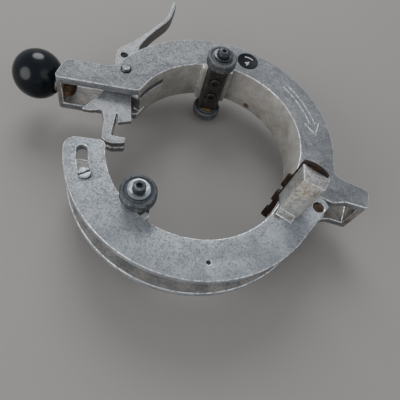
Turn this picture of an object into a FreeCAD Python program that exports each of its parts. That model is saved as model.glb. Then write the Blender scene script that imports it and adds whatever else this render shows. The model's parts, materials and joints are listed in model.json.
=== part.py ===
import FreeCAD, Part
import math
import os

# Hinged clamp-on pipe tool frame for 4-inch pipe.
# Millimetres, +Z up. The origin is the centre of the upper arm's ring, halfway through its depth,
# and Z is the axis of the pipe. The tool is drawn with its jaw open by JAW_OPEN.

V = FreeCAD.Vector

# ---- driving dimensions ----
RING_IN = 72.0            # inner radius of both C-arms
RING_OUT = 102.4          # outer radius of both C-arms
HALF = 19.0               # half of the arms' depth along Z
PLATE = 7.0               # thickness of the top and bottom plates
WEB = 6.0                 # thickness of the inner wall that joins them
GAP = HALF - PLATE        # half of the space between the plates

HINGE = V(97.2, -29.4, 0)
JAW_OPEN = 16.4           # degrees that the lower arm stands open
LUG_R = 8.8               # round end of the lower arm's plates at the hinge
SEAM = 9.3                # upper arm's plates end this far above the hinge axis

PIVOT = V(-91.1, 20.1, 0)  # lever pivot in the handle end
CRANK = 12.5              # from the pivot to the link pin
CRANK_ANGLE = 120.0
LINK = PIVOT + FreeCAD.Rotation(V(0, 0, 1), CRANK_ANGLE).multVec(V(CRANK, 0, 0))
WEB_END = 172.5           # the inner wall stops here, under the slot
WEB_TOP_END = 177.5       # and here above it
HOOK_SLOT = (3.9, 9.1)    # heights of the slot that the hook's finger plate swings in
HOOK_SLOT_START = 150.0
HOOK_CLEAR = 38.5         # only the neck and finger plate come nearer to the link pin than this

CATCH_R = 88.7            # radius of the adjusting slot and the catch pin
CATCH_ANGLE = -156.3
SLOT_END = -170.1
SLOT_W = 8.0
SLEEVE_R = 5.0
CATCH_PIN_R = 3.8

ROLLER_PITCH = 65.8       # radius at which the roller bolts stand
ROLLER_R = 13.0
ROLLER_W = 8.6
UPPER_ANGLE = 109.1
LOWER_ANGLE = -129.2
BLOCK_HALF = 26.0         # half length of an axle block
BLOCK_IN = 59.8           # radius of an axle block's inner face
BLOCK_OUT = 71.0          # radius of the seat that it stands on
BLOCK_W = 18.0
RIB_W = 5.0
BLOCK_SCREW_Z = (-9.0, 9.0)
BLOCK_SCREW_R = 3.0
BOLT_R = 4.0
BOLT_DEPTH = 11.5         # a roller bolt's hole in the end of its block
BUSH_R = 6.0
INNER_WASHER = 1.2
CAP_T = 1.5               # outer washer of a roller

POST_ANGLE = -26.0        # tool post, in the lower arm's own ring
POST_TOP = 64.6
POST_TIP = 68.6           # the post's inner edge beside the blade
POST_IN = 74.5            # the inner end of its front face
POST_OUT = 90.0
POST_HALF = 6.0
POST_BEAD = 5.5           # how far the rough bead at its foot runs forward
POST_SCREW_R = 2.5
POST_SCREW_HEAD_R = 4.2
POST_SCREW_RADII = (76.5, 85.0)
BLADE_T = 2.8
BLADE_EDGE = 67.9         # the blade's inner edge between its lands
BLADE_BACK = 88.0
BLADE_CROWN = 3.2         # rise of the blade's arched top over the post
BLADE_STEPS = ((30, 45, 65.0), (8, 22, 65.6), (-18, -4, 66.4))   # bottom, top and radius of each land
BLADE_SCREW_Z = (36.0, 56.0)
BLADE_SCREW_X = 80.5
BLADE_SCREW_R = 2.0

KNOB_R = 20.6
KNOB_CENTRE = V(-158.1, -7.2, 0)
KNOB_FLAT = 18.4          # from the ball's centre to its flat
KNOB_BOLT_R = 4.0
COLLAR_R = 7.2
COLLAR_END = -137.1
WALL_X = -131.0           # inner face of the handle box's end wall
LOOP_WALL_X = 130.2       # inner face of the loop's end wall

PIN_R = 3.5               # hinge pin and lever pivot pin
LINK_PIN_R = 2.5
LEVER_HALF = 6.3          # half thickness of the lever's fork
LEVER_SLOT = 2.9          # half width of the gap in the fork
LEVER_HOLE = V(-104.8, 46.6, 0)
LEVER_HOLE_R = 3.5
LINK_HALF = 2.5           # half thickness of the hook's neck
HOOK_TOP = 8.5
HOOK_BASE = -4.0
TAB_BASE = 4.5            # underside of the hook's finger plate
SMALL_HOLE_R = 1.75
LABEL_CENTRE = V(-1.5, 89.3, 0)
LABEL_R = 9.7

RUN = 0.05                # radial clearance of a running fit
SIDE = 0.2                # side clearance of a turning part
BUSH_W = ROLLER_W + 2 * SIDE
ROLLER_Z = BLOCK_HALF + INNER_WASHER + SIDE
CAP_Z = BLOCK_HALF + INNER_WASHER + BUSH_W
AXLE = V(ROLLER_PITCH, 0, 0)


# ---- helpers ----
def polar(r, deg, z=0.0):
    """Point at radius r and angle deg about the ring's centre."""
    return V(r * math.cos(math.radians(deg)), r * math.sin(math.radians(deg)), z)


CATCH = polar(CATCH_R, CATCH_ANGLE)
SMALL_HOLE = polar(CATCH_R, -81.5)
POST_SCREWS = [polar(r, POST_ANGLE) for r in POST_SCREW_RADII]


def cyl(centre, r, z0, z1):
    return Part.makeCylinder(r, z1 - z0, V(centre.x, centre.y, z0))


def tube(centre, r_out, r_in, z0, z1):
    return cyl(centre, r_out, z0, z1).cut(cyl(centre, r_in, z0 - 1, z1 + 1))


def block(x0, x1, y0, y1, z0, z1):
    return Part.makeBox(x1 - x0, y1 - y0, z1 - z0, V(x0, y0, z0))


def radial(shape, deg):
    """Turn a shape drawn with +X radial to stand at angle deg."""
    out = shape.copy()
    out.rotate(V(0, 0, 0), V(0, 0, 1), deg)
    return out


def opened(shape):
    """Carry a shape from the lower arm's closed place to its open one."""
    out = shape.copy()
    out.rotate(HINGE, V(0, 0, 1), JAW_OPEN)
    return out


def sector(r0, r1, a0, a1, z0, z1):
    """Part of a flat ring between two angles."""
    mid = (a0 + a1) / 2
    edges = [
        Part.Arc(polar(r0, a0, z0), polar(r0, mid, z0), polar(r0, a1, z0)).toShape(),
        Part.makeLine(polar(r0, a1, z0), polar(r1, a1, z0)),
        Part.Arc(polar(r1, a1, z0), polar(r1, mid, z0), polar(r1, a0, z0)).toShape(),
        Part.makeLine(polar(r1, a0, z0), polar(r0, a0, z0)),
    ]
    return Part.Face(Part.Wire(edges)).extrude(V(0, 0, z1 - z0))


def along_x(x0, x1, r, y=0.0, z=0.0):
    """Round bar along X."""
    return Part.makeCylinder(r, x1 - x0, V(x0, y, z), V(1, 0, 0))


def along_y(y0, y1, r, x, z):
    """Round bar along Y."""
    return Part.makeCylinder(r, y1 - y0, V(x, y0, z), V(0, 1, 0))


def rounded_wire(points, z):
    """Closed outline through (x, y, corner radius) points."""
    count = len(points)
    starts = []
    for i, (x, y, r) in enumerate(points):
        here = V(x, y, z)
        before = V(points[i - 1][0], points[i - 1][1], z) - here
        after = V(points[(i + 1) % count][0], points[(i + 1) % count][1], z) - here
        if r == 0:
            starts.append((here, None, here))
            continue
        before.normalize()
        after.normalize()
        half = before.getAngle(after) / 2
        run = r / math.tan(half)
        bisector = (before + after).normalize()
        middle = here + bisector * (r / math.sin(half) - r)
        starts.append((here + before * run, middle, here + after * run))
    edges = []
    for i, (a, m, b) in enumerate(starts):
        if m is not None:
            edges.append(Part.Arc(a, m, b).toShape())
        nxt = starts[(i + 1) % count][0]
        if b.distanceToPoint(nxt) > 1e-6:
            edges.append(Part.makeLine(b, nxt))
    return Part.Wire(edges)


def plate(points, z0, z1):
    return Part.Face(rounded_wire(points, z0)).extrude(V(0, 0, z1 - z0))


def both_plates(make):
    """The same outline as a top plate and a bottom plate."""
    return [make(GAP, HALF), make(-HALF, -GAP)]


def fuse(shapes):
    out = shapes[0].multiFuse(shapes[1:]) if len(shapes) > 1 else shapes[0]
    return out.removeSplitter()


def hexagon(centre, across, z0, z1):
    r = across / math.sqrt(3)
    corners = [V(centre.x, centre.y, z0) + polar(r, 60 * i) for i in range(7)]
    return Part.Face(Part.makePolygon(corners)).extrude(V(0, 0, z1 - z0))


def hex_along_x(x0, x1, across, y=0.0, z=0.0):
    prism = hexagon(V(0, 0, 0), across, 0, x1 - x0)
    prism.rotate(V(0, 0, 0), V(0, 1, 0), 90)
    prism.translate(V(x0, y, z))
    return prism


def nut(centre, across, bore, z0, z1):
    return hexagon(centre, across, z0, z1).cut(cyl(centre, bore, z0 - 1, z1 + 1))


# ---- upper arm ----
HANDLE_OUTLINE = [
    (-78, 52, 0), (-92.6, 43.7, 0), (-100.6, 17.6, 14), (-137.8, 4.6, 6), (-136.6, -17.6, 3.5),
    (-71.5, 4.6, 7), (-68.6, 22.5, 0), (-70, 38, 0),
]
LOOP_OUTLINE = [
    (90, 30, 0), (98.0, 29.5, 0), (102.6, 6.4, 9), (134.5, 5.8, 3), (136.8, -11.2, 3), (118, -14.2, 6),
    (107.5, -20.1, 1.5), (88, -20.1, 0),
]


def upper_plate(z0, z1):
    ring = sector(RING_IN, RING_OUT, -30, 165, z0, z1)
    ring = ring.cut(block(0, 140, -80, HINGE.y + SEAM, z0 - 1, z1 + 1))
    handle = plate(HANDLE_OUTLINE, z0, z1)
    return fuse([ring, handle, plate(LOOP_OUTLINE, z0, z1)])


def axle_seat(deg):
    """Boss on the inner wall: a flat seat between two ribs."""
    boss = block(66.0, RING_IN + 3, -BLOCK_W / 2 - RIB_W, BLOCK_W / 2 + RIB_W, -HALF, HALF)
    front = [e for e in boss.Edges if e.BoundBox.XMax < RING_IN - 5 and e.BoundBox.ZLength > 1]
    boss = boss.makeFillet(2.0, front)
    channel = block(60, BLOCK_OUT, -BLOCK_W / 2 - 0.1, BLOCK_W / 2 + 0.1, -HALF - 1, HALF + 1)
    return radial(boss.cut(channel), deg)


def seat_holes(deg):
    """Tapped holes for the two screws of an axle block."""
    holes = [along_x(BLOCK_OUT - 2, BLOCK_OUT + 18, BLOCK_SCREW_R, z=z) for z in BLOCK_SCREW_Z]
    return radial(Part.makeCompound(holes), deg)


def arrow_rib():
    """Raised outline of an arrow that follows the ring."""
    r0, r1, r2, r3 = 86.2, 91.0, 81.8, 95.2
    tail, neck, tip = 63.5, 34.2, 26.6
    mid = (tail + neck) / 2

    def outline(grow, z):
        turn = math.degrees(grow / 88.0)
        a = polar(r0 - grow, tail + turn, z)
        b = polar(r1 + grow, tail + turn, z)
        c = polar(r1 + grow, neck + turn, z)
        d = polar(r3 + 1.6 * grow, neck + turn, z)
        e = polar(88.4, tip - 2 * turn, z)
        f = polar(r2 - 1.6 * grow, neck + turn, z)
        g = polar(r0 - grow, neck + turn, z)
        edges = [
            Part.makeLine(a, b),
            Part.Arc(b, polar(r1 + grow, mid, z), c).toShape(),
            Part.makeLine(c, d), Part.makeLine(d, e), Part.makeLine(e, f), Part.makeLine(f, g),
            Part.Arc(g, polar(r0 - grow, mid, z), a).toShape(),
        ]
        return Part.Face(Part.Wire(edges)).extrude(V(0, 0, 1.1))

    return outline(0.55, HALF - 0.5).cut(outline(-0.55, HALF - 0.5))


def make_upper_arm():
    seam_y = HINGE.y + SEAM
    web = fuse([sector(RING_IN, RING_IN + WEB, -30, WEB_END, -GAP, GAP),
                sector(RING_IN, RING_IN + WEB, HOOK_SLOT_START, WEB_TOP_END, HOOK_SLOT[0], GAP)])
    web = web.cut(block(0, 140, -80, seam_y, -HALF, HALF))
    end_wall = plate(HANDLE_OUTLINE, -GAP, GAP).common(block(-150, WALL_X, -40, 40, -GAP, GAP))
    loop_wall = plate(LOOP_OUTLINE, -GAP, GAP).common(block(LOOP_WALL_X, 150, -40, 40, -GAP, GAP))
    hinge_wall = sector(RING_IN, RING_OUT, -14, -3, -GAP, GAP)
    hinge_wall = hinge_wall.common(block(60, 140, seam_y, seam_y + WEB, -GAP, GAP))
    knuckle_z = GAP - 0.3
    knuckle = fuse([cyl(HINGE, 8.2, -knuckle_z, knuckle_z),
                    block(HINGE.x - 6, HINGE.x + 6, HINGE.y, seam_y + 3, -knuckle_z, knuckle_z)])
    walls = [web, end_wall, loop_wall, hinge_wall, knuckle, axle_seat(UPPER_ANGLE)]
    arm = fuse(both_plates(upper_plate) + walls)
    arm = arm.cut(cyl(HINGE, PIN_R + RUN, -HALF, HALF))
    arm = arm.cut(cyl(PIVOT, PIN_R, -HALF - 1, HALF + 1))
    arm = arm.cut(seat_holes(UPPER_ANGLE))
    arm = arm.cut(sector(RING_IN - 3, RING_IN + WEB + 1.5, HOOK_SLOT_START, 181, *HOOK_SLOT))
    arm = arm.cut(along_x(WALL_X - 14, WALL_X + 6, KNOB_BOLT_R, y=KNOB_CENTRE.y))
    return fuse([arm, arrow_rib()])


# ---- lower arm, drawn closed ----
HINGE_END_OUTLINE = [
    (60.3, -39.4, 0), (85.5, -56.4, 0), (109.4, -23.1, 0), (107.7, -20.9, 0), (66, -20.9, 0),
]
LATCH_END = -177.0


def end_corner(shape, r, thickness):
    """The upright edge of the latch end at radius r."""
    corner = polar(r, LATCH_END)
    return [e for e in shape.Edges if abs(e.Length - thickness) < 0.01
            and math.hypot(e.Vertexes[0].X - corner.x, e.Vertexes[0].Y - corner.y) < 0.1]


def lower_plate(z0, z1):
    ring = sector(RING_IN, RING_OUT, LATCH_END, -30, z0, z1)
    hinge_end = plate(HINGE_END_OUTLINE, z0, z1)
    hinge_end = hinge_end.cut(cyl(V(0, 0, 0), RING_IN, z0 - 1, z1 + 1))
    corner = block(HINGE.x, HINGE.x + 20, HINGE.y - 2, HINGE.y + 20, z0 - 1, z1 + 1)
    hinge_end = hinge_end.cut(corner.cut(cyl(HINGE, LUG_R, z0 - 2, z1 + 2)))
    shape = fuse([ring, hinge_end])
    shape = shape.makeFillet(9.0, end_corner(shape, RING_OUT, z1 - z0))
    shape = shape.makeFillet(5.0, end_corner(shape, RING_IN, z1 - z0))
    slot = fuse([sector(CATCH_R - SLOT_W / 2, CATCH_R + SLOT_W / 2, SLOT_END, CATCH_ANGLE, z0 - 1, z1 + 1),
                 cyl(polar(CATCH_R, SLOT_END), SLOT_W / 2, z0 - 1, z1 + 1),
                 cyl(CATCH, SLOT_W / 2, z0 - 1, z1 + 1)])
    return shape.cut(slot)


def post_block(r0, r1, t0, t1, z0, z1):
    """Box beside the tool post's centre line, r outwards and t along the ring."""
    return radial(block(r0, r1, t0, t1, z0, z1), POST_ANGLE)


def make_lower_arm():
    web = sector(RING_IN, RING_IN + WEB, -150, -31, -GAP, GAP)
    seat = post_block(RING_IN + 0.1, POST_OUT + 1.5, -8.5, POST_HALF, -GAP, GAP)
    arm = fuse(both_plates(lower_plate) + [web, seat, axle_seat(LOWER_ANGLE)])
    blade_groove = (POST_HALF, POST_HALF + BLADE_T + 0.1)
    arm = arm.cut(post_block(60, BLADE_BACK + 0.1, *blade_groove, -HALF - 1, HALF + 1))
    arm = arm.cut(cyl(HINGE, PIN_R, -HALF - 1, HALF + 1))
    arm = arm.cut(cyl(HINGE, HINGE_HEAD_R + 0.2, HINGE_HEAD_Z - 0.1, HALF + 1))
    arm = arm.cut(seat_holes(LOWER_ANGLE))
    arm = arm.cut(cyl(SMALL_HOLE, SMALL_HOLE_R, GAP - 1, HALF + 1))
    for centre in POST_SCREWS:
        arm = arm.cut(cyl(centre, POST_SCREW_R, -HALF - 1, HALF + 1))
        arm = arm.cut(cyl(centre, POST_SCREW_HEAD_R, -HALF - 1, -HALF + 5))
    return arm


# ---- tool post and blade, drawn closed ----
def make_post():
    """Four-sided column, its inner side slanting back to the blade, with a rough cast bead at its foot."""
    foot = [V(POST_TIP, POST_HALF, HALF), V(POST_IN, -POST_HALF, HALF),
            V(POST_OUT, -POST_HALF + 1, HALF), V(POST_OUT, POST_HALF, HALF)]
    column = Part.Face(Part.makePolygon(foot + foot[:1])).extrude(V(0, 0, POST_TOP - HALF))
    upright = [e for e in column.Edges if e.Length > 40 and e.BoundBox.YMax < 0]
    column = column.makeFillet(1.2, upright)
    slope = [V(0, 1 - POST_HALF, HALF), V(0, -POST_HALF - POST_BEAD, HALF),
             V(0, -POST_HALF - POST_BEAD + 0.6, HALF + 1.2), V(0, 1 - POST_HALF, HALF + 3.2)]
    bead = Part.Face(Part.makePolygon(slope + slope[:1])).extrude(V(POST_OUT - POST_IN - 1.5, 0, 0))
    bead.translate(V(POST_IN - 1.0, 0, 0))
    column = radial(column.fuse(bead), POST_ANGLE)
    for centre in POST_SCREWS:
        column = column.cut(cyl(centre, POST_SCREW_R, HALF - 1, HALF + 10))
    for z in BLADE_SCREW_Z:
        hole = along_y(POST_HALF - 7.5, POST_HALF + 0.5, BLADE_SCREW_R, BLADE_SCREW_X, z)
        column = column.cut(radial(hole, POST_ANGLE))
    return column


def make_blade():
    """Flat plate on the post's far side: an arched top, and three raised cutting lands on its inner edge."""
    outer = POST_HALF + BLADE_T
    foot_in = V(BLADE_EDGE, POST_HALF, -HALF + 0.5)
    foot_out = V(BLADE_BACK, POST_HALF, -HALF + 0.5)
    top_in = V(BLADE_EDGE, POST_HALF, POST_TOP + 0.6)
    top_out = V(BLADE_BACK, POST_HALF, POST_TOP - 0.4)
    crown = V((BLADE_EDGE + BLADE_BACK) / 2, POST_HALF, POST_TOP + BLADE_CROWN)
    edges = [Part.makeLine(foot_in, foot_out), Part.makeLine(foot_out, top_out),
             Part.Arc(top_out, crown, top_in).toShape(), Part.makeLine(top_in, foot_in)]
    sheet = Part.Face(Part.Wire(edges)).extrude(V(0, BLADE_T, 0))
    for z0, z1, r in BLADE_STEPS:
        land = block(r, BLADE_EDGE + 1, POST_HALF, outer, z0, z1)
        ends = [e for e in land.Edges if e.BoundBox.XMax < r + 0.01 and e.BoundBox.ZLength < 0.01]
        sheet = sheet.fuse(land.makeChamfer(1.0, ends))
    sheet = sheet.removeSplitter()
    for z in BLADE_SCREW_Z:
        sheet = sheet.cut(along_y(POST_HALF - 1, outer + 1, BLADE_SCREW_R, BLADE_SCREW_X, z))
    return radial(sheet, POST_ANGLE)


def make_blade_screws():
    screws = []
    outer = POST_HALF + BLADE_T
    for z in BLADE_SCREW_Z:
        shank = along_y(POST_HALF - 7, outer, BLADE_SCREW_R, BLADE_SCREW_X, z)
        head = along_y(outer, outer + 2, 3.6, BLADE_SCREW_X, z)
        head = head.cut(block(76, 85, outer + 1.2, outer + 3, z - 0.5, z + 0.5))
        screws.append(radial(shank.fuse(head), POST_ANGLE))
    return Part.makeCompound(screws)


def make_post_screws():
    screws = []
    for centre in POST_SCREWS:
        shank = cyl(centre, POST_SCREW_R, -HALF + 1, HALF + 9)
        head = cyl(centre, POST_SCREW_HEAD_R, -HALF + 0.4, -HALF + 5)
        screws.append(shank.fuse(head).cut(hexagon(centre, 4.0, -HALF, -HALF + 2.8)))
    return Part.makeCompound(screws)


# ---- axle blocks, rollers and their hardware ----
def make_axle_block(deg):
    bar = block(BLOCK_IN, BLOCK_OUT, -BLOCK_W / 2, BLOCK_W / 2, -BLOCK_HALF, BLOCK_HALF)
    long_edges = [e for e in bar.Edges if e.Length > BLOCK_HALF and e.BoundBox.XMax < BLOCK_IN + 0.1]
    bar = bar.makeChamfer(1.5, long_edges)
    for z in BLOCK_SCREW_Z:
        bar = bar.cut(along_x(BLOCK_IN - 1, BLOCK_OUT + 1, BLOCK_SCREW_R, z=z))
        bar = bar.cut(along_x(BLOCK_IN - 1, BLOCK_IN + 3.2, 5.2, z=z))
    hole = cyl(AXLE, BOLT_R, BLOCK_HALF - BOLT_DEPTH, BLOCK_HALF + 1)
    return radial(bar.cut(hole).cut(mirrored(hole)), deg)


def make_block_screws(deg):
    screws = []
    top = BLOCK_IN - 1.2
    for z in BLOCK_SCREW_Z:
        shank = along_x(BLOCK_IN + 3.2, BLOCK_OUT + 8.2, BLOCK_SCREW_R, z=z)
        head = along_x(top, BLOCK_IN + 3.2, 5.0, z=z)
        head = head.makeFillet(0.8, [e for e in head.Edges if e.BoundBox.XMax < top + 0.1])
        socket = hex_along_x(top - 0.1, top + 2.5, 5.0, z=z)
        screws.append(radial(shank.fuse(head).cut(socket), deg))
    return Part.makeCompound(screws)


def mirrored(shape):
    """The same shape below the middle plane."""
    return shape.mirror(V(0, 0, 0), V(0, 0, 1))


def pair(shape, deg):
    return Part.makeCompound([radial(shape, deg), radial(mirrored(shape), deg)])


def make_roller():
    """Steel ring with rounded rims and a shallow turned recess on each face."""
    ring = tube(AXLE, ROLLER_R, BUSH_R + RUN, ROLLER_Z, ROLLER_Z + ROLLER_W)
    rims = [e for e in ring.Edges if abs(e.Length - 2 * math.pi * ROLLER_R) < 0.01]
    ring = ring.makeFillet(1.6, rims)
    for z0, z1 in ((ROLLER_Z - 1, ROLLER_Z + 0.5), (ROLLER_Z + ROLLER_W - 0.5, ROLLER_Z + ROLLER_W + 1)):
        ring = ring.cut(tube(AXLE, 10.2, 9.0, z0, z1))
    return ring


def make_roller_bolt(domed):
    z0 = CAP_Z + CAP_T
    shank = cyl(AXLE, BOLT_R, BLOCK_HALF - BOLT_DEPTH + 0.5, z0)
    if domed:
        head = cyl(AXLE, 5.6, z0, z0 + 4.4)
        rim = [e for e in head.Edges if e.BoundBox.ZMin > z0 + 4.3]
        head = head.makeFillet(3.0, rim)
        socket = hexagon(AXLE, 3.4, z0 + 2.6, z0 + 6)
    else:
        head = cyl(AXLE, 4.6, z0, z0 + 5.0)
        rim = [e for e in head.Edges if e.BoundBox.ZMin > z0 + 4.9]
        head = head.makeFillet(0.6, rim)
        socket = hexagon(AXLE, 4.0, z0 + 2.2, z0 + 6)
    return shank.fuse(head).cut(socket)


def roller_set(name, deg, domed):
    """One axle block with a roller at each end and everything that holds them, as named shapes."""
    roller = make_roller()
    bush = tube(AXLE, BUSH_R, BOLT_R, BLOCK_HALF + INNER_WASHER, CAP_Z)
    thrust = tube(AXLE, 7.5, BOLT_R, BLOCK_HALF, BLOCK_HALF + INNER_WASHER)
    cap = tube(AXLE, 8.0, BOLT_R, CAP_Z, CAP_Z + CAP_T)
    return {
        name + "_axle_block": make_axle_block(deg),
        name + "_block_screws": make_block_screws(deg),
        name + "_roller_top": radial(roller, deg),
        name + "_roller_bottom": radial(mirrored(roller), deg),
        name + "_roller_bushes": pair(bush, deg),
        name + "_roller_bolts": pair(make_roller_bolt(domed), deg),
        name + "_thrust_washers": pair(thrust, deg),
        name + "_cap_washers": pair(cap, deg),
    }


# ---- latch: lever, link pin and hook ----
LEVER_BASE = [
    (-98.4, 17.5, 3), (-108.0, 35.5, 4), (-112.8, 48.0, 4), (-110.4, 55.6, 4), (-101.0, 63.0, 0),
    (-97.4, 63.0, 0), (-94.6, 48.0, 8), (-83.8, 22.0, 3),
]
LEVER_GUSSET = [
    (-108.5, 44, 0), (-113.6, 50, 3), (-113.4, 57.5, 4), (-107.6, 68, 10), (-100.2, 91, 0),
    (-99.0, 84, 0), (-99.6, 62, 0),
]
STRIP = [
    (-99.3, 60.0), (-99.0, 72.0), (-97.4, 84.0), (-94.4, 97.0), (-91.5, 108.0), (-90.7, 118.0),
    (-92.2, 130.0), (-93.8, 139.4),
]
STRIP_W = 3.2


def spline_strip(points, width, z0, z1):
    """A strip of constant width along a smooth curve through the points, with a round end."""
    curve = Part.BSplineCurve()
    curve.interpolate([V(x, y, z0) for x, y in points])
    sides = []
    for side in (1, -1):
        offset = []
        for x, y in points:
            u = curve.parameter(V(x, y, z0))
            along = curve.tangent(u)[0]
            offset.append(V(x, y, z0) + V(-along.y, along.x, 0) * (side * width / 2))
        line = Part.BSplineCurve()
        line.interpolate(offset)
        sides.append((line.toShape(), offset[0], offset[-1]))
    tip = curve.tangent(curve.LastParameter)[0]
    crown = V(points[-1][0], points[-1][1], z0) + tip * (width / 2)
    edges = [
        sides[0][0],
        Part.Arc(sides[0][2], crown, sides[1][2]).toShape(),
        sides[1][0],
        Part.makeLine(sides[1][1], sides[0][1]),
    ]
    return Part.Face(Part.Wire(Part.__sortEdges__(edges))).extrude(V(0, 0, z1 - z0))


def make_lever():
    base = plate(LEVER_BASE, -LEVER_HALF, LEVER_HALF)
    hub = cyl(PIVOT, 7.5, -LEVER_HALF, LEVER_HALF)
    strip = spline_strip(STRIP, STRIP_W, -LEVER_HALF, LEVER_HALF)
    gusset = plate(LEVER_GUSSET, -LEVER_HALF, 2.6)
    lever = fuse([base, hub, strip, gusset])
    lever = lever.cut(cyl(LINK, 27.0, -LEVER_SLOT, LEVER_SLOT))
    lever = lever.cut(cyl(PIVOT, PIN_R + RUN, -20, 20))
    lever = lever.cut(cyl(LINK, LINK_PIN_R + RUN, -20, 20))
    return lever.cut(cyl(LEVER_HOLE, LEVER_HOLE_R, -20, 20))


# The hook's foot is a square corner in which the catch pin's sleeve seats.
NECK = [
    (-96.5, 30.6), (-104.0, 28.6), (-108.8, 22.5), (-109.0, 15.0), (-104.5, 9.6), (-98.8, 4.0),
    (-95.8, -4.0), (-92.4, -13.0),
]
TAB_OUTLINE = [
    (-100.3, 3.6, 2), (-88.9, 3.0, 0), (-78.9, 5.2, 1.5), (-66.9, -19.0, 1), (-75.4, -25.6, 1),
    (-80.2, -17.0, 2), (-88.4, -21.5, 0), (-93.9, -21.0, 3), (-99.0, -25.3, 3), (-106.6, -27.8, 0.8),
    (-100.9, -7.0, 6),
]
FOOT_OUTLINE = [
    (-95.6, -6.0, 2), (-88.0, -6.0, 2), (-81.0, -17.0, 3), (-75.0, -39.9, 2), (-63.9, -36.3, 1),
    (-62.3, -41.4, 2), (-71.0, -46.3, 3), (-79.5, -46.6, 5), (-86.3, -29.0, 4), (-92.5, -19.5, 3),
]


def make_hook():
    eye = cyl(LINK, 5.5, -LINK_HALF, LINK_HALF)
    neck = spline_strip(NECK, 6.0, -LINK_HALF, LINK_HALF)
    foot = plate(FOOT_OUTLINE, HOOK_BASE, HOOK_TOP)
    inside = Part.Face(rounded_wire(FOOT_OUTLINE, 1.6)).makeOffset2D(-0.9)
    groove = plate(FOOT_OUTLINE, 1.6, 3.0).cut(inside.extrude(V(0, 0, 1.4)))
    groove = groove.common(block(-90, -50, -60, -24, 0, 5))
    root = cyl(V(-95.6, -4.0, 0), 2.9, -LINK_HALF, TAB_BASE)
    foot = foot.cut(groove).cut(cyl(LINK, HOOK_CLEAR, HOOK_BASE - 1, TAB_BASE))
    hook = fuse([eye, neck, foot, root, plate(TAB_OUTLINE, TAB_BASE, HOOK_TOP)])
    return hook.cut(cyl(LINK, LINK_PIN_R + RUN, -10, 10))


# ---- small pieces ----
def domed_pin(centre, r, z0, z1, head_r, head_h):
    shank = cyl(centre, r, z0, z1)
    head = cyl(centre, head_r, z1, z1 + head_h)
    rim = [e for e in head.Edges if e.BoundBox.ZMin > z1 + head_h - 0.1]
    return shank.fuse(head.makeFillet(head_h * 0.85, rim))


HINGE_HEAD_R = 4.5
HINGE_HEAD_Z = 13.7
CLIP_Z = (-HALF - 2.1, -HALF - 1.0)


def clip_groove(centre):
    return tube(centre, PIN_R + 0.5, PIN_R - 0.6, *CLIP_Z)


def make_hinge_pin():
    """Steel pin with its head down in the lower arm's counterbore."""
    pin = cyl(HINGE, PIN_R, -HALF - 3.0, 17.0)
    pin = pin.fuse(cyl(HINGE, HINGE_HEAD_R, HINGE_HEAD_Z, HINGE_HEAD_Z + 3.9))
    return pin.cut(clip_groove(HINGE))


def circlip(centre):
    """Open spring ring in a groove of a pin."""
    ring = tube(centre, PIN_R + 2.6, PIN_R - 0.6, *CLIP_Z)
    return ring.cut(block(centre.x - 1.2, centre.x + 1.2, centre.y - 8.5, centre.y, -HALF - 4, -HALF))


def make_catch_pin():
    shank = cyl(CATCH, CATCH_PIN_R, -HALF, HALF).fuse(cyl(CATCH, 3.0, -HALF - 8.0, -HALF))
    head = cyl(CATCH, 4.8, HALF, HALF + 1.8)
    head = head.makeFillet(0.6, [e for e in head.Edges if e.BoundBox.ZMin > HALF + 1.7])
    slot = block(CATCH.x - 6, CATCH.x + 6, CATCH.y - 0.6, CATCH.y + 0.6, HALF + 0.8, HALF + 3)
    slot.rotate(CATCH, V(0, 0, 1), 35)
    return shank.fuse(head).cut(slot)


def make_knob():
    flat = KNOB_CENTRE.x + KNOB_FLAT
    ball = Part.makeSphere(KNOB_R, KNOB_CENTRE).cut(block(flat, 0, -60, 60, -60, 60))
    return ball.cut(along_x(KNOB_CENTRE.x - 4, flat + 1, KNOB_BOLT_R, y=KNOB_CENTRE.y))


def make_collar():
    start = KNOB_CENTRE.x + KNOB_FLAT
    ring = along_x(start, COLLAR_END, COLLAR_R, y=KNOB_CENTRE.y)
    ring = ring.cut(along_x(start - 1, COLLAR_END + 4, KNOB_BOLT_R, y=KNOB_CENTRE.y))
    return ring.cut(plate(HANDLE_OUTLINE, -GAP, GAP))


def make_knob_bolt():
    shank = along_x(WALL_X - 26, WALL_X, KNOB_BOLT_R, y=KNOB_CENTRE.y)
    head = hex_along_x(WALL_X, WALL_X + 6, 13.0, y=KNOB_CENTRE.y)
    cone = Part.makeCone(8.6, 5.4, 6.0, V(WALL_X, KNOB_CENTRE.y, 0), V(1, 0, 0))
    return shank.fuse(head.common(cone))


def make_label():
    disc = cyl(LABEL_CENTRE, LABEL_R, HALF, HALF + 0.5)
    return disc.makeFillet(0.2, [e for e in disc.Edges if e.BoundBox.ZMin > HALF + 0.4])


# ---- the whole tool ----
parts = {
    "upper_arm": make_upper_arm(),
    "ball_knob": make_knob(),
    "knob_collar": make_collar(),
    "knob_bolt": make_knob_bolt(),
    "size_label": make_label(),
    "lever_pivot_pin": domed_pin(PIVOT, PIN_R, -HALF - 3.0, HALF, 4.6, 2.2).cut(clip_groove(PIVOT)),
    "lever_pivot_clip": circlip(PIVOT),
    "lever_spacers": Part.makeCompound([
        tube(PIVOT, 6.5, PIN_R, LEVER_HALF + SIDE, GAP),
        tube(PIVOT, 6.5, PIN_R, -GAP, -LEVER_HALF - SIDE),
    ]),
    "latch_lever": make_lever(),
    "link_pin": cyl(LINK, LINK_PIN_R, -LEVER_HALF - 0.6, LEVER_HALF + 0.6),
    "latch_hook": make_hook(),
    "hinge_pin": make_hinge_pin(),
    "hinge_clip": circlip(HINGE),
}
parts.update(roller_set("upper", UPPER_ANGLE, True))

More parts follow.
